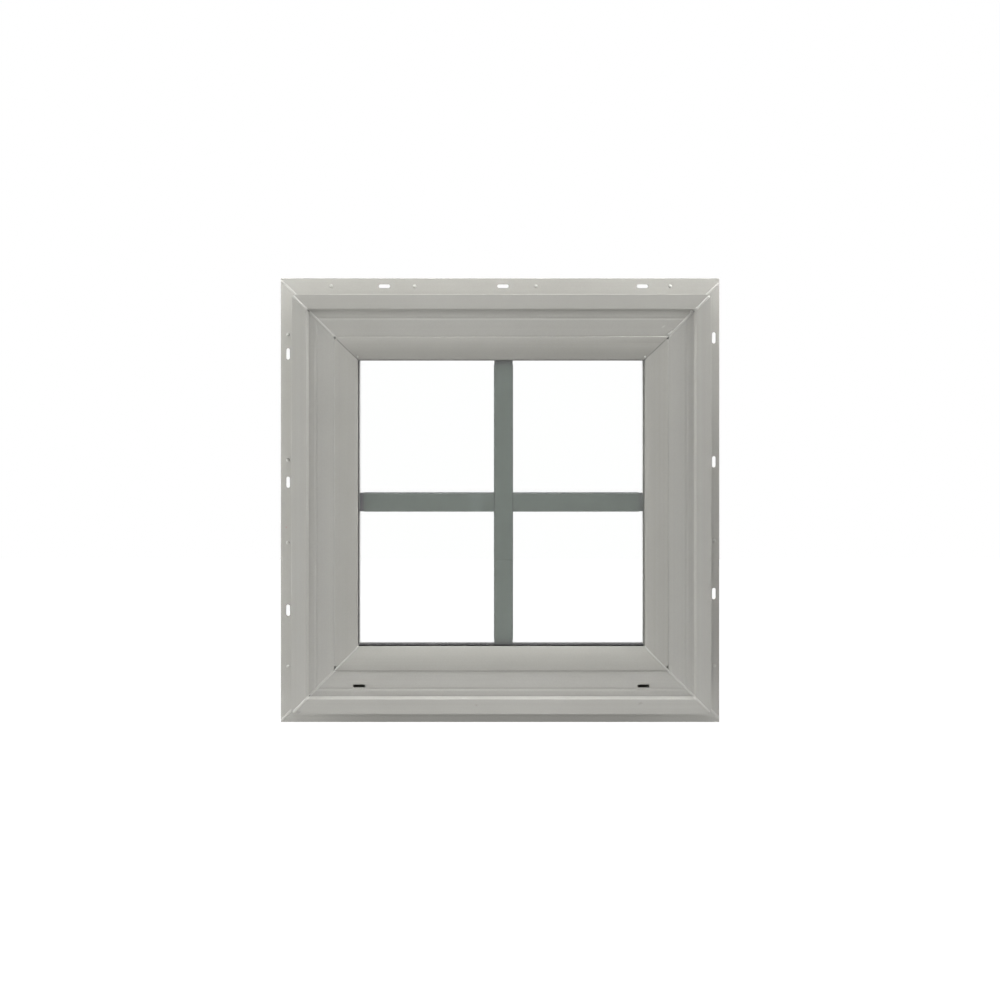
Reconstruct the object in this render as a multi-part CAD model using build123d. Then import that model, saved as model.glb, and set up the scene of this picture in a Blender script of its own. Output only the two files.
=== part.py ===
from build123d import *
import os

# A square fixed window for new walls, seen from outdoors towards +Y, with +Z up.
# Four mitred, welded hollow vinyl frame members each carry a nailing fin and a siding lip.
# Convex beads hold a sealed double pane, with a flat two-by-two grille between the glass.
# All sizes are millimetres. The origin is on the wall side of the sill's nailing fin.

# Overall outline, measured over the nailing fins
OUTLINE_WIDTH = 476.25
OUTLINE_HEIGHT = 476.25
LEFT_FIN_TRIM = 2.0
RIGHT_FIN_TRIM = 4.6
BOTTOM_FIN_TRIM = 0.9

# Nailing fin
FIN_WIDTH = 34.9
FIN_THICKNESS = 1.6
FIN_EDGE_RADIUS = 0.4
NAIL_SLOT_LENGTH = 12.2
NAIL_SLOT_WIDTH = 3.97
NAIL_SLOT_INSETS = {"head": 8.5, "jamb_right": 10.4, "sill": 12.0, "jamb_left": 9.7}
HEAD_SLOTS_X = (-125.3, 1.8, 151.1)
SILL_SLOTS_X = (-125.3, 1.8, 151.1)
LEFT_SLOTS_Z = (-117.6, 19.6, 157.1)
RIGHT_SLOTS_Z = (-99.8, 41.5, 174.3)
ORIGIN_BELOW_BODY = 12.0

# Siding lip, which stands forward of the fin and leaves a pocket between them
LIP_REACH = 16.6
LIP_FRONT = 28.6
LIP_THICKNESS = 1.6
LIP_RETURN = 4.0
LIP_EDGE_RADIUS = 0.4
POCKET_CHAMFER = 3.0
LIP_CORNER_CUT = 3.0

# Frame body, in from the nailing fin's root
WALL = 1.8
WEB = 1.2
STEP_LEAD = 1.3
STEP_RUN = 2.3
STEP_DROP = 3.5
STEP_RADIUS = 0.5
BAND_WIDTH = 26.8
BAND_EDGE_RADIUS = 0.2
LINE_OFFSET = 7.6
LINE_WIDTH = 3.8
LINE_DEPTH = 0.35
BACK_DEPTH = 34.9
SIGHT_LEG_TAPER = 7.5
BODY_RADIUS = 0.8
BAND_WEB_OFFSET = 15.3
BACK_WEB_OFFSET = 24.0

# Glazing rebate
SHELF_DROP = 5.6
REBATE_SHELF = 8.3
GLASS_CLEARANCE = 3.3
GLASS_BITE = 12.7
TAPE_THICKNESS = 1.3
GASKET_THICKNESS = 1.2
LEG_SETBACK = 2.5

# Glazing bead
BEAD_NOSE = 0.9
BEAD_GAP = 0.05
BEAD_INNER_DROP = 3.8
BEAD_BOW = 1.9
BEAD_WALL = 1.5
BEAD_NOSE_RADIUS = 0.9
BEAD_FOOT_INSET = 2.6
BEAD_FOOT_WIDTH = 1.6
BEAD_FOOT_LENGTH = 2.4
GROOVE_CLEARANCE = 0.2
GROOVE_EXTRA_DEPTH = 0.4
BEAD_LIFT = 0.3
MITRE_GAP = 0.1
RELIEF_WIDTH = 1.9
RELIEF_TOP = 2.7
RELIEF_BOTTOM = 5.3
MITRE_EXTRA = 1.0

# Sealed double pane
PANE_THICKNESS = 3.0
AIR_SPACE = 8.0
SPACER_WIDTH = 7.0
SPACER_PROUD = 1.0
SETTING_BLOCK_LENGTH = 50.0
SETTING_BLOCK_QUARTER = 0.25
GASKET_WIDTH = 6.6
GASKET_SETBACK = 0.3
TAPE_WIDTH = 7.5

# Grille between the panes
BAR_WIDTH = 20.4
BAR_THICKNESS = 5.0
BAR_WALL = 0.7
BAR_EDGE_RADIUS = 1.6
BAR_OFFSET_X = 2.3
CLIP_REACH = 4.4
CLIP_TONGUE = 7.0
CLIP_CLEARANCE = 0.15
CLIP_INSET = 0.4

# Drainage slots through the sill's front wall
WEEP_SPREAD = 298.6
WEEP_LENGTH = 12.5
WEEP_WIDTH = 3.5
WEEP_OFFSET = 10.7
WEEP_CORNER_RADIUS = 0.8

# Distances in from the outline, worked out from the sizes above
body_line = FIN_WIDTH
lip_edge = body_line - LIP_REACH
step_top = body_line - STEP_LEAD
band_start = step_top + STEP_RUN
band_end = band_start + BAND_WIDTH
rebate_floor = band_end + REBATE_SHELF
glass_edge = rebate_floor + GLASS_CLEARANCE
sight_line = glass_edge + GLASS_BITE
leg_edge = sight_line - LEG_SETBACK
section_depth = sight_line + MITRE_EXTRA

# Distances along Y, negative towards the outdoors
lip_y = -LIP_FRONT
band_y = lip_y + STEP_DROP
shelf_y = band_y + SHELF_DROP
glass_front_y = shelf_y + BEAD_LIFT + GASKET_THICKNESS
pane_inner_y = glass_front_y + PANE_THICKNESS
pane_outer_y = pane_inner_y + AIR_SPACE
glass_back_y = pane_outer_y + PANE_THICKNESS
tape_back_y = glass_back_y + TAPE_THICKNESS
bar_y = (pane_inner_y + pane_outer_y) / 2

# The window's centre in the finished frame, whose origin is on the sill's fin
centre_z = OUTLINE_HEIGHT / 2 - FIN_WIDTH + ORIGIN_BELOW_BODY

# Each side's turn about the window's centre, starting from the head
SIDE_TURNS = {"head": 0, "jamb_right": 90, "sill": 180, "jamb_left": 270}


def is_upright(side):
    """Tell whether a side runs up and down."""
    return side.startswith("jamb")


def outline_along(side):
    """Length of the fin outline along a side."""
    return OUTLINE_HEIGHT if is_upright(side) else OUTLINE_WIDTH


def outline_across(side):
    """Distance between a side's fin edge and the opposite one."""
    return OUTLINE_WIDTH if is_upright(side) else OUTLINE_HEIGHT


def run_along(side, section):
    """Extrude a section, drawn inwards and in depth, along one side at the head's place."""
    length = outline_along(side)
    start = Plane(
        origin=(-length / 2, 0, outline_across(side) / 2),
        x_dir=(0, 0, -1),
        z_dir=(1, 0, 0),
    )
    return extrude(start * section, amount=length)


def mitre_prism(side, ease):
    """Space between the two 45 degree corner cuts of a side, at the head's place."""
    half = outline_along(side) / 2 - ease
    top = outline_across(side) / 2
    inner = section_depth
    outline = Polyline(
        (-half, top),
        (half, top),
        (half - inner, top - inner),
        (inner - half, top - inner),
        close=True,
    )
    return extrude(Plane.XZ * make_face(outline), amount=2 * BACK_DEPTH, both=True)


def turned(side, solid):
    """Turn a solid from the head's place to its own side."""
    return solid.rotate(Axis.Y, SIDE_TURNS[side])


def mitred(side, section, gap=0.0):
    """One side's length of a section, cut at 45 degrees at both ends and put in its place."""
    ease = gap * 2**0.5
    return turned(side, run_along(side, section) & mitre_prism(side, ease))


def rectangle(r0, r1, y0, y1):
    """A section rectangle between two distances inwards and two depths."""
    return Pos((r0 + r1) / 2, (y0 + y1) / 2) * Rectangle(r1 - r0, y1 - y0)


def frame_outline():
    """Outer line of the frame member's section, with its fin, lip, band, rebate and leg."""
    lip_back_y = lip_y + LIP_THICKNESS
    return_y = lip_back_y + LIP_RETURN
    line_r = band_start + LINE_OFFSET
    corners = [
        (0.0, 0.0, 0.0),
        (0.0, -FIN_THICKNESS, FIN_EDGE_RADIUS),
        (body_line, -FIN_THICKNESS, 0.0),
        (body_line, lip_back_y + POCKET_CHAMFER, 0.0),
        (body_line - POCKET_CHAMFER, lip_back_y, 0.0),
        (lip_edge + LIP_THICKNESS, lip_back_y, 0.0),
        (lip_edge + LIP_THICKNESS, return_y, 0.0),
        (lip_edge, return_y, 0.0),
        (lip_edge, lip_y, LIP_EDGE_RADIUS),
        (step_top, lip_y, STEP_RADIUS),
        (band_start, band_y, STEP_RADIUS),
        (line_r - LINE_WIDTH / 2, band_y, 0.0),
        (line_r, band_y + LINE_DEPTH, 0.0),
        (line_r + LINE_WIDTH / 2, band_y, 0.0),
        (band_end, band_y, BAND_EDGE_RADIUS),
        (band_end, shelf_y, 0.0),
        (rebate_floor, shelf_y, 0.0),
        (rebate_floor, tape_back_y, 0.0),
        (leg_edge, tape_back_y, BODY_RADIUS),
        (leg_edge - SIGHT_LEG_TAPER, BACK_DEPTH, BODY_RADIUS),
        (body_line, BACK_DEPTH, BODY_RADIUS),
        (body_line, 0.0, 0.0),
    ]
    points = [(r, y) for r, y, _ in corners]
    radii = [radius for _, _, radius in corners]
    return make_face(FilletPolyline(*points, radius=radii, close=True))


def chambers():
    """Hollow chambers inside the frame member, parted by thin webs."""
    body_in = body_line + WALL
    band_web = body_line + BAND_WEB_OFFSET
    back_web = body_line + BACK_WEB_OFFSET
    front_y = band_y + WALL
    front_web_y = shelf_y + BEAD_FOOT_LENGTH + GROOVE_EXTRA_DEPTH + WALL + WEB
    back_web_y = tape_back_y
    leg_in = leg_edge - SIGHT_LEG_TAPER - WALL
    back_y = BACK_DEPTH - WALL
    return [
        rectangle(body_in, band_web - WEB / 2, front_y, front_web_y - WEB),
        rectangle(band_web + WEB / 2, band_end - WALL, front_y, front_web_y - WEB),
        rectangle(body_in, band_web - WEB / 2, front_web_y, back_web_y - WEB),
        rectangle(band_web + WEB / 2, rebate_floor - WALL, front_web_y, back_web_y - WEB),
        rectangle(body_in, back_web - WEB / 2, back_web_y, back_y),
        rectangle(back_web + WEB / 2, leg_in, back_web_y + WALL, back_y),
    ]


def bead_groove():
    """Groove in the rebate's shelf that the bead's foot snaps into."""
    r0 = band_end + BEAD_GAP + BEAD_FOOT_INSET
    depth = BEAD_FOOT_LENGTH + GROOVE_EXTRA_DEPTH
    return rectangle(
        r0 - GROOVE_CLEARANCE,
        r0 + BEAD_FOOT_WIDTH + GROOVE_CLEARANCE,
        shelf_y - GROOVE_EXTRA_DEPTH,
        shelf_y + depth,
    )


def frame_section():
    """Whole section of a frame member."""
    section = frame_outline() - bead_groove()
    for chamber in chambers():
        section -= chamber
    return section


def nail_slots(side, places):
    """Cutters for a side's nail slots, at their places along the fin."""
    across = outline_across(side) / 2 - NAIL_SLOT_INSETS[side]
    cutters = []
    for place in places:
        slot = SlotOverall(NAIL_SLOT_LENGTH, NAIL_SLOT_WIDTH)
        tool = extrude(Plane.XZ * slot, amount=4 * FIN_THICKNESS, both=True)
        cutters.append(along_side(side, tool, place, across))
    return cutters


def along_side(side, tool, place, across):
    """Put a tool on a side, at a place along it and a distance out from the centre."""
    if side == "head":
        return Pos(place, 0, across) * tool
    if side == "sill":
        return Pos(place, 0, -across) * tool
    out = across if side == "jamb_right" else -across
    return Pos(out, 0, place) * tool.rotate(Axis.Y, 90)


def weep_slots():
    """Cutters for the two drainage slots through the sill's front wall."""
    across = OUTLINE_HEIGHT / 2 - band_start - WEEP_OFFSET
    slot = RectangleRounded(WEEP_LENGTH, WEEP_WIDTH, WEEP_CORNER_RADIUS)
    tool = extrude(Plane.XZ * slot, amount=2 * WALL, both=True)
    places = (-WEEP_SPREAD / 2, WEEP_SPREAD / 2)
    return [Pos(x, band_y, -across) * tool for x in places]


def lip_corner_cuts():
    """Cutters that trim the four outer corners of the siding lip at 45 degrees."""
    half_x = OUTLINE_WIDTH / 2 - lip_edge
    half_z = OUTLINE_HEIGHT / 2 - lip_edge
    depth = LIP_THICKNESS + LIP_RETURN
    triangle = Polyline((0, 0), (-LIP_CORNER_CUT, 0), (0, -LIP_CORNER_CUT), close=True)
    wedge = extrude(Plane.XZ * make_face(triangle), amount=depth, both=True)
    corner = Pos(half_x, lip_y, half_z) * wedge
    upper = [corner, corner.mirror(Plane.YZ)]
    return upper + [cutter.mirror(Plane.XY) for cutter in upper]


def overall_box():
    """Box that the trimmed fins end at."""
    width = OUTLINE_WIDTH - LEFT_FIN_TRIM - RIGHT_FIN_TRIM
    height = OUTLINE_HEIGHT - BOTTOM_FIN_TRIM
    middle = Pos((LEFT_FIN_TRIM - RIGHT_FIN_TRIM) / 2, 0, BOTTOM_FIN_TRIM / 2)
    return middle * Box(width, 4 * BACK_DEPTH, height)


def frame_member(side, slots):
    """One welded frame member, with its fin slots."""
    member = mitred(side, frame_section()) & overall_box()
    for cutter in nail_slots(side, slots) + lip_corner_cuts():
        member -= cutter
    return member


def frame_sill():
    """The bottom frame member, which also drains."""
    member = frame_member("sill", SILL_SLOTS_X)
    for cutter in weep_slots():
        member -= cutter
    return member


def bead_face_y(r):
    """Depth of the bead's bowed face at a distance inwards."""
    r0 = band_end + BEAD_GAP
    share = (r - r0) / (sight_line - r0)
    straight = band_y - BEAD_NOSE + share * (BEAD_NOSE + BEAD_INNER_DROP)
    return straight - BEAD_BOW * 4 * share * (1 - share)


def bowed_line(r0, r1, back):
    """Arc that follows the bead's face between two distances inwards, moved back."""
    middle = (r0 + r1) / 2
    ends = [(r, bead_face_y(r) + back) for r in (r0, middle, r1)]
    return ThreePointArc(*ends)


def bead_section():
    """Hollow section of a glazing bead, with its bowed face and its foot."""
    r0 = band_end + BEAD_GAP
    r1 = sight_line
    under_y = glass_front_y - GASKET_THICKNESS
    toe = rebate_floor + BEAD_GAP
    foot = r0 + BEAD_FOOT_INSET
    foot_y = shelf_y + BEAD_FOOT_LENGTH
    rest = Polyline(
        (r1, bead_face_y(r1)),
        (r1, under_y),
        (toe, under_y),
        (toe, shelf_y),
        (foot + BEAD_FOOT_WIDTH, shelf_y),
        (foot + BEAD_FOOT_WIDTH, foot_y),
        (foot, foot_y),
        (foot, shelf_y),
        (r0, shelf_y),
        (r0, bead_face_y(r0)),
    )
    shell = make_face(bowed_line(r0, r1, 0.0) + rest)
    nose = shell.vertices().sort_by_distance((r0, bead_face_y(r0)))[0]
    hollow = bead_hollow(r0 + BEAD_WALL, r1 - 3 * BEAD_WALL, under_y - BEAD_WALL)
    return fillet(nose, BEAD_NOSE_RADIUS) - hollow


def glazing_bead(side):
    """One glazing bead, of which the upright ones have their outer tips notched."""
    bead = mitred(side, bead_section(), MITRE_GAP)
    if not is_upright(side):
        return bead
    half_x = OUTLINE_WIDTH / 2 - band_end
    half_z = OUTLINE_HEIGHT / 2 - band_end
    x = half_x if side == "jamb_right" else -half_x
    for z, length in ((half_z, RELIEF_TOP), (-half_z, RELIEF_BOTTOM)):
        bead -= Pos(x, band_y, z) * Box(2 * RELIEF_WIDTH, 4 * SHELF_DROP, 2 * length)
    return bead


def bead_hollow(r0, r1, floor_y):
    """Hollow inside a bead, one wall in from its face and its underside."""
    rest = Polyline(
        (r1, bead_face_y(r1) + BEAD_WALL),
        (r1, floor_y),
        (r0, floor_y),
        (r0, bead_face_y(r0) + BEAD_WALL),
    )
    return make_face(bowed_line(r0, r1, BEAD_WALL) + rest)


def pane(y0):
    """One sheet of glass, with its outdoor face at a depth."""
    width = OUTLINE_WIDTH - 2 * glass_edge
    height = OUTLINE_HEIGHT - 2 * glass_edge
    return Pos(0, y0 + PANE_THICKNESS / 2, 0) * Box(width, PANE_THICKNESS, height)


def spacer_section():
    """Section of the dark spacer between the panes."""
    inner = sight_line + SPACER_PROUD
    return rectangle(inner - SPACER_WIDTH, inner, pane_inner_y, pane_outer_y)


def edge_seal_section():
    """Section of the sealant behind the spacer, out to the edge of the glass."""
    inner = sight_line + SPACER_PROUD - SPACER_WIDTH
    return rectangle(glass_edge, inner, pane_inner_y, pane_outer_y)


def gasket_section():
    """Section of the soft strip between a bead and the outer glass."""
    inner = sight_line - GASKET_SETBACK
    return rectangle(inner - GASKET_WIDTH, inner, glass_front_y - GASKET_THICKNESS, glass_front_y)


def tape_section():
    """Section of the foam tape between the inner glass and the frame's leg."""
    inner = leg_edge - BODY_RADIUS
    return rectangle(inner - TAPE_WIDTH, inner, glass_back_y, tape_back_y)


def setting_block(x):
    """Hard block on the sill's rebate floor that carries the glass."""
    floor_z = rebate_floor - OUTLINE_HEIGHT / 2
    width = glass_back_y - glass_front_y
    middle_y = (glass_front_y + glass_back_y) / 2
    block = Box(SETTING_BLOCK_LENGTH, width, GLASS_CLEARANCE)
    return Pos(x, middle_y, floor_z + GLASS_CLEARANCE / 2) * block


def bar_tube(length):
    """Flat hollow grille bar along X, centred."""
    outer = RectangleRounded(BAR_THICKNESS, BAR_WIDTH, BAR_EDGE_RADIUS)
    inner = RectangleRounded(
        BAR_THICKNESS - 2 * BAR_WALL, BAR_WIDTH - 2 * BAR_WALL, BAR_EDGE_RADIUS - BAR_WALL
    )
    return extrude(Plane.YZ * (outer - inner), amount=length / 2, both=True)


def bar_clip():
    """End clip along +X: a head that meets the spacer and a tongue inside the bar."""
    thickness = BAR_THICKNESS - CLIP_INSET
    width = BAR_WIDTH - 2 * CLIP_INSET
    head = RectangleRounded(thickness, width, BAR_EDGE_RADIUS - CLIP_INSET / 2)
    slack = 2 * (BAR_WALL + CLIP_CLEARANCE)
    tongue = Rectangle(BAR_THICKNESS - slack, BAR_WIDTH - 2 * slack)
    return extrude(Plane.YZ * head, amount=-CLIP_REACH) + extrude(
        Plane.YZ * tongue, amount=-CLIP_REACH - CLIP_TONGUE
    )


def grille():
    """Vertical bar, two horizontal halves that butt against it, and four end clips."""
    sight_half_x = OUTLINE_WIDTH / 2 - sight_line - SPACER_PROUD
    sight_half_z = OUTLINE_HEIGHT / 2 - sight_line - SPACER_PROUD
    upright = bar_tube(2 * (sight_half_z - CLIP_REACH)).rotate(Axis.Y, 90)
    pieces = {"grille_bar_vertical": Pos(BAR_OFFSET_X, bar_y, 0) * upright}
    for name, way in (("left", -1), ("right", 1)):
        start = BAR_OFFSET_X + way * BAR_WIDTH / 2
        end = way * (sight_half_x - CLIP_REACH)
        middle = (start + end) / 2
        pieces[f"grille_bar_{name}"] = Pos(middle, bar_y, 0) * bar_tube(abs(end - start))
    clip = bar_clip()
    pieces["grille_clip_right"] = Pos(sight_half_x, bar_y, 0) * clip
    pieces["grille_clip_left"] = Pos(-sight_half_x, bar_y, 0) * clip.rotate(Axis.Z, 180)
    pieces["grille_clip_top"] = Pos(BAR_OFFSET_X, bar_y, sight_half_z) * clip.rotate(Axis.Y, -90)
    pieces["grille_clip_bottom"] = Pos(BAR_OFFSET_X, bar_y, -sight_half_z) * clip.rotate(Axis.Y, 90)
    return pieces


def all_pieces():
    """Every named piece, about the window's centre."""
    pieces = {
        "frame_head": frame_member("head", HEAD_SLOTS_X),
        "frame_sill": frame_sill(),
        "frame_jamb_left": frame_member("jamb_left", LEFT_SLOTS_Z),
        "frame_jamb_right": frame_member("jamb_right", RIGHT_SLOTS_Z),
        "glass_pane_outer": pane(glass_front_y),
        "glass_pane_inner": pane(pane_outer_y),
        "setting_block_left": setting_block(-SETTING_BLOCK_QUARTER * OUTLINE_WIDTH),
        "setting_block_right": setting_block(SETTING_BLOCK_QUARTER * OUTLINE_WIDTH),
    }
    for side in SIDE_TURNS:
        pieces[f"glazing_bead_{side}"] = glazing_bead(side)
        pieces[f"spacer_{side}"] = mitred(side, spacer_section())
        pieces[f"edge_seal_{side}"] = mitred(side, edge_seal_section())
        pieces[f"glazing_gasket_{side}"] = mitred(side, gasket_section())
        pieces[f"glazing_tape_{side}"] = mitred(side, tape_section())
    pieces.update(grille())
    return pieces


os.makedirs("parts", exist_ok=True)
for node, piece in all_pieces().items():
    export_step(Pos(0, 0, centre_z) * piece, f"parts/{node}.step")
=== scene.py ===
import math
import random

import bmesh
import bpy
from mathutils import Matrix, Vector


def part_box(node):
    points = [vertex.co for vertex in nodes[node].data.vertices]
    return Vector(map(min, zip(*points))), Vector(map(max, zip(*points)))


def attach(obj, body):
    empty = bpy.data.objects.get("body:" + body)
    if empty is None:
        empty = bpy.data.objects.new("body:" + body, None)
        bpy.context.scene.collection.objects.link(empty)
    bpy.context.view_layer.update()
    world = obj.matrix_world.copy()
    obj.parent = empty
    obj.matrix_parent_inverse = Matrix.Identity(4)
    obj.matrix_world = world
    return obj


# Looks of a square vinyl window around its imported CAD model. The scene is in metres. The window's own
# sizes below are in millimetres, which MM turns into metres, and the studio's are in metres.

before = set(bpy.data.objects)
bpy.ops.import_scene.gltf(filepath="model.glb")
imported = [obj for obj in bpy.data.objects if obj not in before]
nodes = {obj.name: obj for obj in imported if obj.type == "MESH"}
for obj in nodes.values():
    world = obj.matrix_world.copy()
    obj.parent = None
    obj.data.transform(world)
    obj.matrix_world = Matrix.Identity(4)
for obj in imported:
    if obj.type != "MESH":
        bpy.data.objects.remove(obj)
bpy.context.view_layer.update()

MM = 0.001
SIDES = ("head", "jamb_right", "sill", "jamb_left")

# Sizes repeated from the part's source: distances inwards from the fin outline, and depths
OUTLINE = 476.25
LEFT_FIN_TRIM = 2.0
RIGHT_FIN_TRIM = 4.6
FIN_FRONT_Y = -1.6
BODY_LINE = 34.9
POCKET_CHAMFER = 3.0
LIP_EDGE = 18.3
LIP_CORNER_CUT = 3.0
LIP_Y = -28.6
LIP_BACK_Y = -27.0
STEP_TOP = 33.6
BAND_START = 35.9
BAND_Y = -25.1
BAND_END = 62.7
LINE_R = 43.5
BEAD_START = 62.75
BEAD_NOSE = 0.9
BEAD_INNER_DROP = 3.8
BEAD_BOW = 1.9
BEAD_UNDER_Y = -19.2
SIGHT_LINE = 87.0
BACK_Y = 34.9
LEG_FRONT = (84.5, -2.7)
LEG_BACK_R = 77.0

centre_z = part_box("frame_head")[1].z - OUTLINE / 2 * MM


# Node helpers

FINE_DETAIL = 2.0
CLOUD_DETAIL = 3.0

# Where most of a noise's values lie
NOISE_RANGE = (0.3, 0.7)


def new_material(name):
    """A material with an empty node tree but for its output."""
    material = bpy.data.materials.new(name)
    material.use_nodes = True
    tree = material.node_tree
    tree.nodes.clear()
    output = tree.nodes.new("ShaderNodeOutputMaterial")
    return material, tree, output


def add(tree, kind, **settings):
    """Add a node and set its attributes."""
    node = tree.nodes.new(kind)
    for key, value in settings.items():
        setattr(node, key, value)
    return node


def object_coordinates(tree, scale=(1, 1, 1), shift=(0, 0, 0)):
    """Object coordinates, stretched and shifted."""
    coordinates = add(tree, "ShaderNodeTexCoord")
    mapping = add(tree, "ShaderNodeMapping")
    mapping.inputs["Scale"].default_value = scale
    mapping.inputs["Location"].default_value = shift
    tree.links.new(coordinates.outputs["Object"], mapping.inputs["Vector"])
    return mapping.outputs["Vector"]


def stretched(along, along_scale, across_scale):
    """A noise's scale on each axis, for a pattern that runs along one of them."""
    return tuple(along_scale if axis == along else across_scale for axis in "xyz")


def noise(tree, vector, scale, detail=FINE_DETAIL, roughness=0.5):
    """A noise texture's factor."""
    node = add(tree, "ShaderNodeTexNoise")
    node.inputs["Scale"].default_value = scale
    node.inputs["Detail"].default_value = detail
    node.inputs["Roughness"].default_value = roughness
    tree.links.new(vector, node.inputs["Vector"])
    return node.outputs["Fac"]


def remap(tree, value, low, high, to_low, to_high, smooth=False):
    """Map a value from one range to another."""
    node = add(tree, "ShaderNodeMapRange")
    node.interpolation_type = "SMOOTHSTEP" if smooth else "LINEAR"
    node.inputs["From Min"].default_value = low
    node.inputs["From Max"].default_value = high
    node.inputs["To Min"].default_value = to_low
    node.inputs["To Max"].default_value = to_high
    tree.links.new(value, node.inputs["Value"])
    return node.outputs["Result"]


def mix_colour(tree, factor, first, second, blend="MIX"):
    """Mix two colours, given as sockets or as plain colours."""
    node = add(tree, "ShaderNodeMix", data_type="RGBA", blend_type=blend)
    if isinstance(factor, float):
        node.inputs[0].default_value = factor
    else:
        tree.links.new(factor, node.inputs[0])
    for socket, colour in ((node.inputs[6], first), (node.inputs[7], second)):
        if isinstance(colour, tuple):
            socket.default_value = (*colour, 1.0)
        else:
            tree.links.new(colour, socket)
    return node.outputs[2]


def combine(tree, operation, first, second):
    """A math node on two values."""
    node = add(tree, "ShaderNodeMath", operation=operation)
    for socket, value in ((node.inputs[0], first), (node.inputs[1], second)):
        if isinstance(value, (int, float)):
            socket.default_value = value
        else:
            tree.links.new(value, socket)
    return node.outputs[0]


def weighted(tree, first, first_share, second, second_share):
    """Sum of two values, each times its share."""
    first_part = combine(tree, "MULTIPLY", first, first_share)
    second_part = combine(tree, "MULTIPLY", second, second_share)
    return combine(tree, "ADD", first_part, second_part)


def bump(tree, height, distance, strength):
    """A bump node's normal."""
    node = add(tree, "ShaderNodeBump")
    node.inputs["Strength"].default_value = strength
    node.inputs["Distance"].default_value = distance
    tree.links.new(height, node.inputs["Height"])
    return node.outputs["Normal"]


def principled(tree, output):
    """A Principled shader wired to the output."""
    shader = add(tree, "ShaderNodeBsdfPrincipled")
    tree.links.new(shader.outputs["BSDF"], output.inputs["Surface"])
    return shader


def seen_rays(tree):
    """1 for what the camera sees, also in reflections and through glass, and 0 for other light."""
    path = add(tree, "ShaderNodeLightPath")
    seen = combine(tree, "MAXIMUM", path.outputs["Is Camera Ray"], path.outputs["Is Glossy Ray"])
    return combine(tree, "MAXIMUM", seen, path.outputs["Is Transmission Ray"])


# Marks

MARK_WAVE_SCALE = 900.0
MARK_SOFT_FROM = 0.45

# So large that a mark looks the same at every depth
MARK_DEPTH = 1e6


def spot(tree, colour, mark):
    """Lay a small soft mark over a colour, at a place on the window's front."""
    x, z, half_width, half_height, turn, ragged, tint, strength = mark
    coordinates = add(tree, "ShaderNodeTexCoord")
    mapping = add(tree, "ShaderNodeMapping", vector_type="TEXTURE")
    mapping.inputs["Location"].default_value = (x * MM, 0, centre_z + z * MM)
    mapping.inputs["Rotation"].default_value = (0, math.radians(turn), 0)
    mapping.inputs["Scale"].default_value = (half_width * MM, MARK_DEPTH, half_height * MM)
    tree.links.new(coordinates.outputs["Object"], mapping.inputs["Vector"])
    length = add(tree, "ShaderNodeVectorMath", operation="LENGTH")
    tree.links.new(mapping.outputs["Vector"], length.inputs[0])
    wave = noise(tree, object_coordinates(tree), MARK_WAVE_SCALE, CLOUD_DETAIL)
    shift = remap(tree, wave, *NOISE_RANGE, -ragged, ragged)
    edge = combine(tree, "ADD", length.outputs["Value"], shift)
    share = remap(tree, edge, MARK_SOFT_FROM, 1.0, strength, 0.0, smooth=True)
    return mix_colour(tree, share, colour, tint)


# Vinyl

VINYL_TONES = ((0.330, 0.325, 0.300), (0.362, 0.357, 0.332))
BEAD_TONES = ((0.305, 0.300, 0.275), (0.335, 0.329, 0.303))
# Lighter vinyl for the weld seams, pips and lumps: partly the welds' own cleaned tone, partly a painted
# highlight
WELD_AND_HIGHLIGHT_TONES = ((0.395, 0.390, 0.366), (0.435, 0.430, 0.405))
STREAK_ALONG_SCALE = 1.5
STREAK_ACROSS_SCALE = 420.0
STREAK_ROUGHNESS = 0.6
STREAK_SHARE = 0.4
VINYL_CLOUD_SCALE = 14.0
VINYL_CLOUD_SHIFT = (3.1, 0, 1.7)
VINYL_CLOUD_SHARE = 0.6
GRAIN_SCALE = 1500.0
GRAIN_RANGE = (0.25, 0.75)
GRAIN_TINT = (0.94, 1.04)
VINYL_ROUGHNESS = (0.40, 0.50)
VINYL_BUMP = 0.06
VINYL_BUMP_STRENGTH = 0.5
VINYL_BUMP_SHARE = 0.5
VINYL_IOR = 1.5
SMUDGE = (0.235, 0.230, 0.215)
SHADED = (0.110, 0.108, 0.100)
RUSTY = (0.36, 0.19, 0.16)
SCUFF = (0.47, 0.46, 0.44)

# Each mark's place from the window's centre, half width and height, turn, raggedness, colour and strength
VINYL_MARKS = [
    (-230.2, -28.5, 1.0, 0.9, 0, 0.3, RUSTY, 0.65),
    (-212.5, -217.9, 3.0, 2.0, 20, 0.4, SMUDGE, 0.5),
    (145.6, -208.5, 2.8, 1.6, -15, 0.4, SMUDGE, 0.45),
    (-26.1, -210.6, 2.2, 1.4, 0, 0.4, SMUDGE, 0.4),
    # The SHADED marks below are painted shade in the small voids and notches at the corners' welds and at
    # the beads' mitres.
    (-202.3, 202.6, 1.7, 1.1, 45, 0.2, SHADED, 0.85),
    (-201.2, -201.4, 1.5, 1.0, -45, 0.2, SHADED, 0.7),
    (202.3, 201.6, 0.9, 0.9, 0, 0.2, SHADED, 0.6),
    (-174.9, 174.6, 1.3, 1.1, 45, 0.2, SHADED, 0.85),
    (175.4, 174.0, 1.2, 1.0, -45, 0.2, SHADED, 0.8),
    (170.4, 186.0, 2.6, 0.7, -32, 0.3, SCUFF, 0.7),
]


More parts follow.
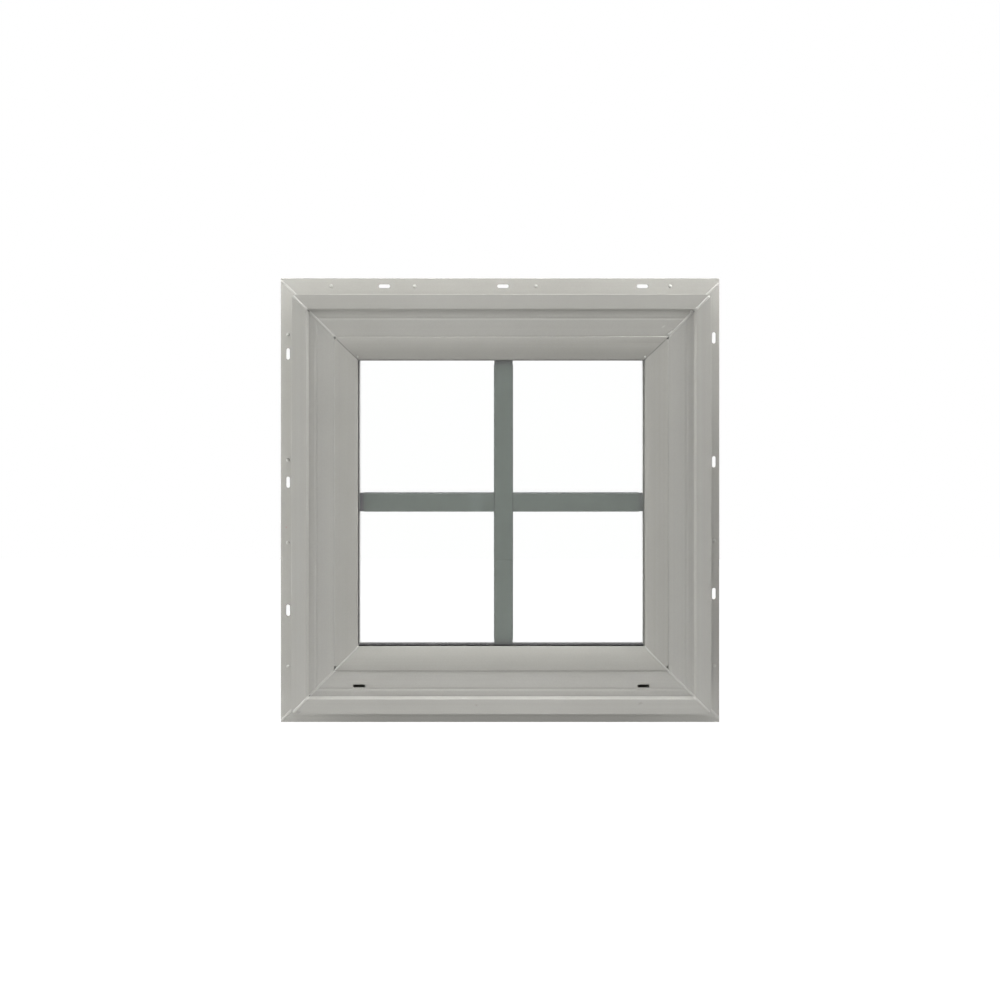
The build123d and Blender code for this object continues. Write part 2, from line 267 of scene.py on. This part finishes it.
def vinyl(name, along, tones=VINYL_TONES):
    """Satin extruded vinyl, with faint streaks along its run."""
    material, tree, output = new_material(name)
    shader = principled(tree, output)
    streak_scale = stretched(along, STREAK_ALONG_SCALE, STREAK_ACROSS_SCALE)
    streaks = noise(tree, object_coordinates(tree, streak_scale), 1.0, roughness=STREAK_ROUGHNESS)
    place = object_coordinates(tree, shift=VINYL_CLOUD_SHIFT)
    cloud = noise(tree, place, VINYL_CLOUD_SCALE, CLOUD_DETAIL)
    grain = noise(tree, object_coordinates(tree), GRAIN_SCALE)
    tone = weighted(tree, cloud, VINYL_CLOUD_SHARE, streaks, STREAK_SHARE)
    colour = mix_colour(tree, remap(tree, tone, *NOISE_RANGE, 0.0, 1.0), *tones)
    speck = remap(tree, grain, *GRAIN_RANGE, *GRAIN_TINT)
    colour = mix_colour(tree, 1.0, colour, speck, "MULTIPLY")
    for mark in VINYL_MARKS:
        colour = spot(tree, colour, mark)
    tree.links.new(colour, shader.inputs["Base Color"])
    tree.links.new(remap(tree, cloud, *NOISE_RANGE, *VINYL_ROUGHNESS), shader.inputs["Roughness"])
    height = weighted(tree, streaks, VINYL_BUMP_SHARE, grain, VINYL_BUMP_SHARE)
    normal = bump(tree, height, VINYL_BUMP * MM, VINYL_BUMP_STRENGTH)
    tree.links.new(normal, shader.inputs["Normal"])
    shader.inputs["IOR"].default_value = VINYL_IOR
    return material


# Plain materials

# Each one's dark and light tone, noise scale, least and most roughness, and bump depth
PLAIN_LOOKS = {
    "spacer": ((0.30, 0.30, 0.28), (0.36, 0.36, 0.34), 60.0, (0.45, 0.60), 0.03),
    # Nearly black on the sill only: painted shade for the dark line along the glass's bottom edge, where
    # the other spacers are grey
    "spacer_sill": ((0.012, 0.012, 0.013), (0.020, 0.020, 0.022), 60.0, (0.55, 0.70), 0.03),
    "sealant": ((0.012, 0.012, 0.012), (0.022, 0.022, 0.022), 90.0, (0.5, 0.7), 0.1),
    "gasket": ((0.130, 0.127, 0.120), (0.170, 0.166, 0.157), 120.0, (0.55, 0.75), 0.05),
    "tape": ((0.50, 0.50, 0.48), (0.62, 0.62, 0.60), 300.0, (0.7, 0.9), 0.2),
    "block": ((0.020, 0.020, 0.020), (0.040, 0.040, 0.040), 200.0, (0.5, 0.7), 0.1),
    "clip_dark": ((0.008, 0.008, 0.009), (0.014, 0.014, 0.015), 150.0, (0.45, 0.6), 0.03),
    "clip_grey": ((0.026, 0.032, 0.027), (0.036, 0.043, 0.037), 150.0, (0.40, 0.55), 0.03),
    # Painted shade: a dark line on the beads' mitres at the top corners only
    "mitre_painted_shade": ((0.170, 0.167, 0.157), (0.210, 0.207, 0.195), 200.0, (0.5, 0.6), 0.03),
}
PLAIN_FINER = 8
PLAIN_BUMP_STRENGTH = 0.6


def plain(name):
    """A solid material with two tones, varied roughness and a fine bump."""
    dark, light, scale, roughness, bump_depth = PLAIN_LOOKS[name]
    material, tree, output = new_material(name)
    shader = principled(tree, output)
    tone = noise(tree, object_coordinates(tree), scale, CLOUD_DETAIL)
    fine = noise(tree, object_coordinates(tree), scale * PLAIN_FINER)
    colour = mix_colour(tree, remap(tree, tone, *NOISE_RANGE, 0, 1), dark, light)
    tree.links.new(colour, shader.inputs["Base Color"])
    tree.links.new(remap(tree, fine, *NOISE_RANGE, *roughness), shader.inputs["Roughness"])
    tree.links.new(bump(tree, fine, bump_depth * MM, PLAIN_BUMP_STRENGTH), shader.inputs["Normal"])
    return material


# Grille paint

GRILLE_DARK = (0.041, 0.056, 0.044)
GRILLE_LIGHT = (0.051, 0.067, 0.054)
GRILLE_RIM_SHADE = (0.026, 0.036, 0.030)
# Pale tint for smudges on the bars and for a painted reflection
GRILLE_SMUDGE_AND_REFLECTION = (0.075, 0.095, 0.085)
GRILLE_FLECK = (0.16, 0.17, 0.16)
CLIP_SHADOW = (0.012, 0.012, 0.013)
END_SHADOW = (0.016, 0.016, 0.016)
BAR_OFFSET_X = 2.3
BAR_FLAT_HALF = 8.4
BAR_HALF = 10.0
LINE_ALONG_SCALE = 2.0
LINE_ACROSS_SCALE = 700.0
LINE_BUMP_SHARE = 0.6
GRILLE_CLOUD_SCALE = 60.0
PEEL_SCALE = 1100.0
PEEL_BUMP_SHARE = 0.4
GRILLE_ROUGHNESS = (0.38, 0.50)
GRILLE_BUMP = 0.05
GRILLE_BUMP_STRENGTH = 0.5

# Marks on the bars, given as the vinyl's are
GRILLE_MARKS = [
    # The first mark, a long pale slanted streak on the left bar, is a painted reflection; the other pale
    # marks are smudges
    (-26.1, 0.0, 8.6, 60.0, -3, 0.02, GRILLE_SMUDGE_AND_REFLECTION, 0.5),
    (37.6, 5.6, 2.1, 0.5, 40, 0.2, GRILLE_FLECK, 0.9),
    (-1.5, 134.0, 2.6, 6.5, 12, 0.5, GRILLE_SMUDGE_AND_REFLECTION, 0.45),
    (4.6, 131.0, 3.0, 6.0, -10, 0.5, GRILLE_SMUDGE_AND_REFLECTION, 0.5),
    (0.8, 121.5, 5.0, 3.5, 0, 0.5, GRILLE_SMUDGE_AND_REFLECTION, 0.4),
    (3.4, 86.0, 4.0, 1.3, 0, 0.4, GRILLE_SMUDGE_AND_REFLECTION, 0.4),
    (2.4, 148.6, 1.5, 1.2, 0, 0.2, CLIP_SHADOW, 0.85),
    (-6.2, 147.5, 1.3, 2.2, 0, 0.2, END_SHADOW, 0.7),
    (11.0, 147.0, 1.3, 2.4, 0, 0.2, END_SHADOW, 0.7),
]


def bar_rim_shade(tree, along):
    """Share of painted shade at a bar's rolled edge: 0 on its flat face, 1 at its outline."""
    split = add(tree, "ShaderNodeSeparateXYZ")
    place = object_coordinates(tree, shift=(-BAR_OFFSET_X * MM, 0, -centre_z))
    tree.links.new(place, split.inputs[0])
    across = combine(tree, "ABSOLUTE", split.outputs["X" if along == "z" else "Z"], 0.0)
    return remap(tree, across, BAR_FLAT_HALF * MM, BAR_HALF * MM, 0.0, 1.0, smooth=True)


def grille_paint(name, along):
    """Satin paint on a rolled bar, with painted shade at its rolled edges, and faint lines along it."""
    material, tree, output = new_material(name)
    shader = principled(tree, output)
    line_scale = stretched(along, LINE_ALONG_SCALE, LINE_ACROSS_SCALE)
    lines = noise(tree, object_coordinates(tree, line_scale), 1.0)
    cloud = noise(tree, object_coordinates(tree), GRILLE_CLOUD_SCALE, CLOUD_DETAIL)
    peel = noise(tree, object_coordinates(tree), PEEL_SCALE)
    colour = mix_colour(tree, remap(tree, cloud, *NOISE_RANGE, 0.0, 1.0), GRILLE_DARK, GRILLE_LIGHT)
    # Painted shade on the rolled edges, where they turn away from the light
    colour = mix_colour(tree, bar_rim_shade(tree, along), colour, GRILLE_RIM_SHADE)
    for mark in GRILLE_MARKS:
        colour = spot(tree, colour, mark)
    tree.links.new(colour, shader.inputs["Base Color"])
    tree.links.new(remap(tree, lines, *NOISE_RANGE, *GRILLE_ROUGHNESS), shader.inputs["Roughness"])
    height = weighted(tree, lines, LINE_BUMP_SHARE, peel, PEEL_BUMP_SHARE)
    normal = bump(tree, height, GRILLE_BUMP * MM, GRILLE_BUMP_STRENGTH)
    tree.links.new(normal, shader.inputs["Normal"])
    return material


# Glass

GLASS_TINT = (0.997, 1.0, 0.998, 1.0)
GLASS_IOR = 1.5


def glass(name):
    """Clear float glass, which lets light through to what stands behind it."""
    material, tree, output = new_material(name)
    shader = add(tree, "ShaderNodeBsdfPrincipled")
    shader.inputs["Base Color"].default_value = GLASS_TINT
    shader.inputs["Transmission Weight"].default_value = 1.0
    shader.inputs["Roughness"].default_value = 0.0
    shader.inputs["IOR"].default_value = GLASS_IOR
    clear = add(tree, "ShaderNodeBsdfTransparent")
    path = add(tree, "ShaderNodeLightPath")
    mix = add(tree, "ShaderNodeMixShader")
    tree.links.new(path.outputs["Is Shadow Ray"], mix.inputs[0])
    tree.links.new(shader.outputs["BSDF"], mix.inputs[1])
    tree.links.new(clear.outputs["BSDF"], mix.inputs[2])
    tree.links.new(mix.outputs["Shader"], output.inputs["Surface"])
    return material


# Materials of the CAD nodes

def assign(node, material):
    """Give a CAD node one material."""
    mesh = nodes[node].data
    mesh.materials.clear()
    mesh.materials.append(material)


def dress_frame():
    """Vinyl on the frame and the beads."""
    vinyl_across = vinyl("vinyl_across", "x")
    vinyl_upright = vinyl("vinyl_upright", "z")
    bead_across = vinyl("bead_across", "x", BEAD_TONES)
    bead_upright = vinyl("bead_upright", "z", BEAD_TONES)
    for side in SIDES:
        upright = side.startswith("jamb")
        assign(f"frame_{side}", vinyl_upright if upright else vinyl_across)
        assign(f"glazing_bead_{side}", bead_upright if upright else bead_across)


def dress_pane(looks):
    """Materials of the sealed pane, its seals and its blocks."""
    for side in SIDES:
        # The sill's spacer gets the nearly black look, painted shade; the other spacers are grey
        assign(f"spacer_{side}", looks["spacer_sill" if side == "sill" else "spacer"])
        assign(f"edge_seal_{side}", looks["sealant"])
        assign(f"glazing_gasket_{side}", looks["gasket"])
        assign(f"glazing_tape_{side}", looks["tape"])
    pane = glass("clear_glass")
    for name in ("outer", "inner"):
        assign(f"glass_pane_{name}", pane)
    for name in ("left", "right"):
        assign(f"setting_block_{name}", looks["block"])


def dress_grille(looks):
    """Paint on the bars, and plastic on their clips."""
    assign("grille_bar_vertical", grille_paint("grille_upright", "z"))
    across = grille_paint("grille_across", "x")
    for name in ("left", "right"):
        assign(f"grille_bar_{name}", across)
    for name in ("top", "bottom", "left", "right"):
        assign(f"grille_clip_{name}", looks["clip_dark" if name == "left" else "clip_grey"])


# Pieces added in the scene

def loft(mesh, rings):
    """Skin a row of closed rings and cap both ends."""
    for first, second in zip(rings, rings[1:]):
        for k in range(len(first)):
            j = (k + 1) % len(first)
            mesh.faces.new((first[k], first[j], second[j], second[k]))
    mesh.faces.new(rings[0])
    mesh.faces.new(reversed(rings[-1]))


def finished_piece(name, mesh, material, smooth=True):
    """Turn a mesh into a named piece that rides on the window."""
    bmesh.ops.recalc_face_normals(mesh, faces=mesh.faces)
    data = bpy.data.meshes.new(name)
    mesh.to_mesh(data)
    mesh.free()
    for polygon in data.polygons:
        polygon.use_smooth = smooth
    piece = bpy.data.objects.new(name, data)
    piece.data.materials.append(material)
    bpy.context.scene.collection.objects.link(piece)
    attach(piece, "root")


def bead_face_y(r):
    """Depth of the bead's bowed face at a distance inwards."""
    share = (r - BEAD_START) / (SIGHT_LINE - BEAD_START)
    straight = BAND_Y - BEAD_NOSE + share * (BEAD_NOSE + BEAD_INNER_DROP)
    return straight - BEAD_BOW * 4 * share * (1 - share)


# Weld seams along the corners' 45 degree lines

WELD_SEED = 7
WELD_ROW_LENGTH = 1.2
WELD_ROOT = 0.5
WELD_ROOT_SHARE = 0.8
WELD_SINK = 0.03
WIDTH_SPREAD = (0.94, 1.05)
HEIGHT_SPREAD = (0.9, 1.08)

# Shape across each seam: distance towards the level member, and share of the seam's height
SEAM_SHAPE = [(-1.0, 0.0), (-0.75, 0.42), (-0.4, 0.82), (0.0, 1.0), (0.4, 0.82), (0.75, 0.42), (1.0, 0.0)]

# Half width and height of each seam
SEAM_SIZES = {
    "front": (1.9, 0.5),
    "fin": (2.1, 0.35),
    "pocket": (1.6, 0.5),
    "back": (1.6, 0.4),
    "bead": (1.2, 0.5),
}
MITRE_LINE_SIZE = (0.8, 0.12)

# How the seams' lines round the section's corners and stop at its ends
ROUND_SIDE = 0.3
ROUND_DROP = 0.4
BAND_FOOT = 0.5
FIN_END_GAP = 0.2
BACK_END_GAP = 0.4
LEG_SIDE = 0.1
BEAD_LINE_POINTS = 9
BEAD_LINE_SINK = 0.5
BEAD_LINE_END_GAP = 0.3

# The beads' lines start past the notches at the top, and nearly at the outer edge at the bottom
TOP_BEAD_FROM = BEAD_START + 2.6
BOTTOM_BEAD_FROM = BEAD_START + 0.7

# Each corner's side and height as signs, its fin's trim and where its bead's line starts
CORNERS = {
    "top_left": ((-1, 1), LEFT_FIN_TRIM, TOP_BEAD_FROM),
    "top_right": ((1, 1), RIGHT_FIN_TRIM, TOP_BEAD_FROM),
    "bottom_right": ((1, -1), RIGHT_FIN_TRIM, BOTTOM_BEAD_FROM),
    "bottom_left": ((-1, -1), LEFT_FIN_TRIM, BOTTOM_BEAD_FROM),
}


def bead_line(start):
    """Points over the bead's face and down its inner edge, from a distance inwards."""
    points = [(start, bead_face_y(start) + BEAD_LINE_SINK)]
    for k in range(BEAD_LINE_POINTS):
        r = start + (SIGHT_LINE - start) * k / (BEAD_LINE_POINTS - 1)
        points.append((r, bead_face_y(r)))
    points.append((SIGHT_LINE, BEAD_UNDER_Y + BEAD_LINE_END_GAP))
    return points


def weld_lines(trim, bead_from):
    """Section lines that a corner's weld follows, each in distance inwards and depth."""
    front = [
        (LIP_EDGE + LIP_CORNER_CUT / 2, LIP_Y),
        (STEP_TOP - ROUND_DROP, LIP_Y),
        (STEP_TOP + ROUND_SIDE, LIP_Y + ROUND_DROP),
        (BAND_START - ROUND_SIDE, BAND_Y - ROUND_DROP),
        (BAND_START + BAND_FOOT, BAND_Y),
        (LINE_R, BAND_Y),
        (BAND_END - ROUND_SIDE, BAND_Y),
    ]
    fin = [(trim + FIN_END_GAP, FIN_FRONT_Y), (BODY_LINE, FIN_FRONT_Y)]
    pocket = [
        (BODY_LINE, FIN_FRONT_Y),
        (BODY_LINE, LIP_BACK_Y + POCKET_CHAMFER),
        (BODY_LINE - POCKET_CHAMFER, LIP_BACK_Y),
    ]
    back = [
        (BODY_LINE, BACK_END_GAP),
        (BODY_LINE, BACK_Y - ROUND_SIDE),
        (BODY_LINE + ROUND_SIDE, BACK_Y),
        (LEG_BACK_R - ROUND_SIDE, BACK_Y),
        (LEG_BACK_R + LEG_SIDE, BACK_Y - ROUND_DROP),
        LEG_FRONT,
    ]
    return {"front": front, "fin": fin, "pocket": pocket, "back": back, "bead": bead_line(bead_from)}


def resampled(points, step):
    """The same line with more points along its longer runs."""
    result = [Vector(points[0])]
    for start, end in zip(points, points[1:]):
        start, end = Vector(start), Vector(end)
        count = max(1, round((end - start).length / step))
        result += [start.lerp(end, k / count) for k in range(1, count + 1)]
    return result


def normals(points, outward):
    """Normals of a section line, on the side given by the sign."""
    result = []
    for k in range(len(points)):
        before = points[max(k - 1, 0)]
        after = points[min(k + 1, len(points) - 1)]
        run = (after - before).normalized()
        result.append(Vector((run.y, -run.x)) * outward)
    return result


def corner_place(corner, across_x, across_z, y):
    """A point near a corner, from its distances inwards from both outlines and its depth."""
    way_x, way_z = CORNERS[corner][0]
    half = OUTLINE / 2
    return (way_x * (half - across_x) * MM, y * MM, centre_z + way_z * (half - across_z) * MM)


def seam_ring(mesh, corner, point, normal, offsets):
    """One row of a seam's points across it."""
    ring = []
    for along, lift in offsets:
        moved = point + normal * lift
        across_x = point.x + along if along > 0 else moved.x
        across_z = point.x - along if along < 0 else moved.x
        ring.append(mesh.verts.new(corner_place(corner, across_x, across_z, moved.y)))
    return ring


def weld_strip(corner, points, outward, size, draw):
    """A raised seam's mesh along one corner's section line."""
    path = resampled(points, WELD_ROW_LENGTH)
    half_width, full_height = size
    mesh = bmesh.new()
    rings = []
    for point, normal in zip(path, normals(path, outward)):
        reach = half_width * draw.uniform(*WIDTH_SPREAD)
        height = full_height * draw.uniform(*HEIGHT_SPREAD)
        root = reach * WELD_ROOT_SHARE
        offsets = [(reach * share, height * level - WELD_SINK) for share, level in SEAM_SHAPE]
        offsets += [(root, -WELD_ROOT), (-root, -WELD_ROOT)]
        rings.append(seam_ring(mesh, corner, point, normal, offsets))
    loft(mesh, rings)
    return mesh


def add_welds(weld_and_highlight, mitre_shade):
    """Weld seams on all four corners, front, fin, pocket and back, and the beads' mitre lines: painted
    shade at the top corners, and a lighter seam, partly painted highlight, at the bottom ones.
    """
    draw = random.Random(WELD_SEED)
    for corner, (way, trim, bead_from) in CORNERS.items():
        for part, points in weld_lines(trim, bead_from).items():
            outward = -1 if part == "back" else 1
            shaded_mitre = part == "bead" and way[1] > 0
            size = MITRE_LINE_SIZE if shaded_mitre else SEAM_SIZES[part]
            mesh = weld_strip(corner, points, outward, size, draw)
            material = mitre_shade if shaded_mitre else weld_and_highlight
            finished_piece(f"weld_{part}_{corner}", mesh, material)


# Small raised pips on the nailing fins, as distances from the window's centre

PIP_RADIUS = 1.9
PIP_HEIGHT = 0.8
PIP_RINGS = 5
PIP_SIDES = 20
HEAD_PIPS_X = (-182.2, -92.9, 37.4, 180.8)
LEFT_PIPS_Z = (-177.8, -45.0, 43.4, 177.8)
RIGHT_PIPS_Z = (-176.8, -43.2)

# How far the pips stand inside the fins' outline
HEAD_PIP_INSET = 8.7
LEFT_PIP_INSET = 9.6
RIGHT_PIP_INSET = 9.8


def add_pip(name, x, z, material):
    """A low round pip that stands on a fin."""
    mesh = bmesh.new()
    centre = Vector((x * MM, FIN_FRONT_Y * MM, centre_z + z * MM))
    turns = [2 * math.pi * j / PIP_SIDES for j in range(PIP_SIDES)]
    rings = []
    for k in range(PIP_RINGS):
        angle = math.radians(90) * k / PIP_RINGS
        radius = PIP_RADIUS * math.cos(angle) * MM
        lift = (PIP_HEIGHT * math.sin(angle) - WELD_SINK) * MM
        ring = [centre + Vector((radius * math.cos(t), -lift, radius * math.sin(t))) for t in turns]
        rings.append([mesh.verts.new(place) for place in ring])
    loft(mesh, rings)
    finished_piece(name, mesh, material)


def add_pips(material):
    """Every pip on the three fins that show them."""
    half = OUTLINE / 2
    for k, x in enumerate(HEAD_PIPS_X):
        add_pip(f"pip_head_{k + 1}", x, half - HEAD_PIP_INSET, material)
    for k, z in enumerate(LEFT_PIPS_Z):
        add_pip(f"pip_left_{k + 1}", LEFT_PIP_INSET - half, z, material)
    for k, z in enumerate(RIGHT_PIPS_Z):
        add_pip(f"pip_right_{k + 1}", half - RIGHT_PIP_INSET, z, material)


# Small lumps of squeezed-out vinyl at the corners

# Each one's place from the window's centre, its radii and its turn in degrees
DOMES = {
    "knob_top_right": ((199.9, -25.4, 201.9), (1.5, 2.0, 1.5), 0),
    "squeeze_top_right": ((176.9, -25.1, 179.2), (3.9, 1.1, 1.1), -45),
    "mitre_end_top_left": ((-151.4, -22.6, 154.4), (1.1, 1.0, 1.8), 0),
    "mitre_end_top_right": ((151.4, -22.6, 154.0), (1.1, 1.0, 1.8), 0),
}
DOME_RINGS = 8
DOME_SIDES = 16


def add_dome(name, centre, radii, turn, material):
    """A small rounded lump, half sunk in the vinyl."""
    mesh = bmesh.new()
    spin = Matrix.Rotation(math.radians(turn), 3, "Y")
    rings = []
    for k in range(DOME_RINGS):
        angle = math.pi * ((k + 0.5) / DOME_RINGS - 0.5)
        ring = []
        for j in range(DOME_SIDES):
            t = 2 * math.pi * j / DOME_SIDES
            point = Vector((
                radii[0] * math.cos(angle) * math.cos(t),
                radii[1] * math.sin(angle),
                radii[2] * math.cos(angle) * math.sin(t),
            ))
            place = (spin @ point + Vector(centre)) * MM + Vector((0, 0, centre_z))
            ring.append(mesh.verts.new(place))
        rings.append(ring)
    loft(mesh, rings)
    finished_piece(name, mesh, material)


def add_domes(material):
    """Every small lump."""
    for name, (centre, radii, turn) in DOMES.items():
        add_dome(name, centre, radii, turn, material)


# The head bead's outer edge, lifted a little out of its seat towards the right

LIFT_START_X = 20.0
LIFT_STEPS = 32
LIFT_HEIGHT = 0.9
LIFT_REACH = 0.8
LIFT_RUN = 7.0
LIFT_CREST = 0.5
LIFT_SHOULDER_REACH = 0.6
LIFT_SHOULDER_SHARE = 0.6
LIFT_FOOT = 0.1
LIFT_OVERLAY = 0.02
LIFT_SINK = 0.6
LIFT_END_GAP = 0.2
LIFT_SLOPE_PARTS = (0.25, 0.5, 0.75, 1.0)


def bead_lift_section(rise):
    """The lifted edge's section as distances inwards and depths, for a share of the full rise."""
    height = LIFT_HEIGHT * rise
    reach = LIFT_REACH * rise
    crest_r = BEAD_START + LIFT_CREST
    crest_y = bead_face_y(crest_r) + LIFT_OVERLAY
    back_r = BEAD_START + LIFT_RUN
    section = [
        (BEAD_START + LIFT_FOOT - reach, BAND_Y + LIFT_FOOT),
        (crest_r - LIFT_SHOULDER_REACH * rise, crest_y - LIFT_SHOULDER_SHARE * height),
        (crest_r, crest_y - height),
    ]
    for part in LIFT_SLOPE_PARTS:
        r = crest_r + (back_r - crest_r) * part
        section.append((r, bead_face_y(r) + LIFT_OVERLAY - height * (1 - part)))
    section.append((back_r, bead_face_y(back_r) + LIFT_SINK))
    section.append((crest_r - reach, BAND_Y + LIFT_SINK))
    return section


def add_bead_lift(material):
    """A thin cover that follows the lifted edge as far as the right mitre."""
    mesh = bmesh.new()
    rings = []
    half = OUTLINE / 2
    for k in range(LIFT_STEPS + 1):
        share = k / LIFT_STEPS
        ring = []
        for r, y in bead_lift_section(share ** 2):
            end_x = half - r - LIFT_END_GAP
            x = LIFT_START_X + (end_x - LIFT_START_X) * share
            ring.append(mesh.verts.new((x * MM, y * MM, centre_z + (half - r) * MM)))
        rings.append(ring)
    loft(mesh, rings)
    finished_piece("bead_edge_head", mesh, material, smooth=False)


# Studio

CAMERA_DISTANCE = 1.2
CAMERA_RISE = 0.168
FOCAL_LENGTH = 40.28
SENSOR_WIDTH = 36.0
SHIFT_X = -0.0013
SHIFT_Y = -0.1563
FLOOR_Z = -1.2
FLOOR_SIZE = 14.0
FLOOR_COLOUR = (0.8, 0.8, 0.8, 1.0)
FLOOR_GLOW = 0.95
WHITE = (1.0, 1.0, 1.0, 1.0)


def add_camera():
    """Camera at the photograph's viewing angle."""
    data = bpy.data.cameras.new("camera")
    data.lens = FOCAL_LENGTH
    data.sensor_width = SENSOR_WIDTH
    data.shift_x = SHIFT_X
    data.shift_y = SHIFT_Y
    camera = bpy.data.objects.new("camera", data)
    camera.location = (0.0, -CAMERA_DISTANCE, centre_z + CAMERA_RISE)
    camera.rotation_euler = (math.radians(90), 0, 0)
    bpy.context.scene.collection.objects.link(camera)
    bpy.context.scene.camera = camera


def floor_material():
    """Pale floor that looks white and still takes shadows."""
    material, tree, output = new_material("floor")
    diffuse = add(tree, "ShaderNodeBsdfDiffuse")
    diffuse.inputs["Color"].default_value = FLOOR_COLOUR
    glow = add(tree, "ShaderNodeEmission")
    tree.links.new(combine(tree, "MULTIPLY", seen_rays(tree), FLOOR_GLOW), glow.inputs["Strength"])
    both = add(tree, "ShaderNodeAddShader")
    tree.links.new(diffuse.outputs["BSDF"], both.inputs[0])
    tree.links.new(glow.outputs["Emission"], both.inputs[1])
    tree.links.new(both.outputs["Shader"], output.inputs["Surface"])
    return material


def add_floor():
    """Plain pale floor, well below the window."""
    data = bpy.data.meshes.new("floor")
    half = FLOOR_SIZE / 2
    corners = [(-half, -half), (half, -half), (half, half), (-half, half)]
    data.from_pydata([(x, y, FLOOR_Z) for x, y in corners], [], [(0, 1, 2, 3)])
    floor = bpy.data.objects.new("floor", data)
    bpy.context.scene.collection.objects.link(floor)
    data.materials.append(floor_material())


# Level of the surroundings' light from each direction, as axis, sign and level, on what isn't seen
AMBIENT = {
    "left": (0, -1, 0.02),
    "right": (0, 1, 0.02),
    "front": (1, -1, 0.02),
    "back": (1, 1, 0.9),
    "below": (2, -1, 0.02),
    "above": (2, 1, 0.02),
}


def ambient_level(tree):
    """Strength of the surroundings by direction, blended from the six levels."""
    coordinates = add(tree, "ShaderNodeTexCoord")
    split = add(tree, "ShaderNodeSeparateXYZ")
    tree.links.new(coordinates.outputs["Generated"], split.inputs[0])
    total = 0.0
    for axis, sign, level in AMBIENT.values():
        facing = combine(tree, "MULTIPLY", split.outputs[axis], sign)
        facing = combine(tree, "MAXIMUM", facing, 0.0)
        share = combine(tree, "MULTIPLY", combine(tree, "MULTIPLY", facing, facing), level)
        total = combine(tree, "ADD", total, share)
    return total


def add_world():
    """White surroundings for what is seen, and a plainer level for what is lit."""
    world = bpy.data.worlds.new("studio")
    world.use_nodes = True
    tree = world.node_tree
    tree.nodes.clear()
    output = add(tree, "ShaderNodeOutputWorld")
    background = add(tree, "ShaderNodeBackground")
    seen = seen_rays(tree)
    unseen = combine(tree, "SUBTRACT", 1.0, seen)
    level = combine(tree, "ADD", combine(tree, "MULTIPLY", unseen, ambient_level(tree)), seen)
    tree.links.new(level, background.inputs["Strength"])
    background.inputs["Color"].default_value = WHITE
    tree.links.new(background.outputs["Background"], output.inputs["Surface"])
    bpy.context.scene.world = world


# Each lamp's place, what it points at, its size, its spread in degrees and its power
LAMPS = {
    "left": ((-1.5, -0.8, 0.7), (0, 0, 0.2), (0.8, 1.0), 180, 9.8),
    "right_low": ((1.4, -0.35, 0.6), (-0.1, -0.03, 0.25), (0.5, 0.9), 180, 11.8),
    "top_near": ((0.0, -0.7, 0.95), (0, 0, 0.25), (0.8, 0.4), 180, 3.7),
    "steep_low": ((0.0, -0.45, 1.2), (0, 0, -0.05), (0.6, 0.3), 30, 0.50),
    "table": ((0.0, -0.30, -0.30), (0, 0, 0.1), (0.9, 0.3), 180, 1.94),
    "top_strip": ((0.0, -0.035, 0.58), (0, -0.02, 0.3), (0.6, 0.03), 180, 1.17),
    "left_strip": ((-0.40, -0.05, 0.25), (0, -0.04, 0.25), (0.05, 0.6), 180, 1.07),
    "right_strip": ((0.40, -0.05, 0.42), (0, -0.04, 0.42), (0.05, 0.2), 180, 0.38),
}

# Lamps whose soft reflections show on the vinyl
REFLECTED_LAMPS = ("left", "right_low", "top_near")


def add_lamps():
    """Soft area lamps."""
    for name, (place, aim, size, spread, power) in LAMPS.items():
        data = bpy.data.lights.new(name, "AREA")
        data.shape = "RECTANGLE"
        data.size, data.size_y = size
        data.energy = power
        data.spread = math.radians(spread)
        lamp = bpy.data.objects.new(name, data)
        lamp.location = place
        lamp.rotation_euler = (Vector(aim) - Vector(place)).to_track_quat("-Z", "Y").to_euler()
        lamp.visible_camera = False
        lamp.visible_glossy = name in REFLECTED_LAMPS
        bpy.context.scene.collection.objects.link(lamp)


add_camera()
add_world()
add_floor()
add_lamps()
plain_looks = {name: plain(name) for name in PLAIN_LOOKS}
dress_frame()
dress_pane(plain_looks)
dress_grille(plain_looks)
# The lighter weld vinyl doubles as a painted highlight on the seams, pips and lumps
weld_and_highlight_vinyl = vinyl("vinyl_weld_and_highlight", "x", WELD_AND_HIGHLIGHT_TONES)
add_welds(weld_and_highlight_vinyl, plain_looks["mitre_painted_shade"])
add_pips(weld_and_highlight_vinyl)
add_domes(weld_and_highlight_vinyl)
add_bead_lift(nodes["glazing_bead_head"].data.materials[0])
bpy.context.scene.view_settings.view_transform = "Standard"
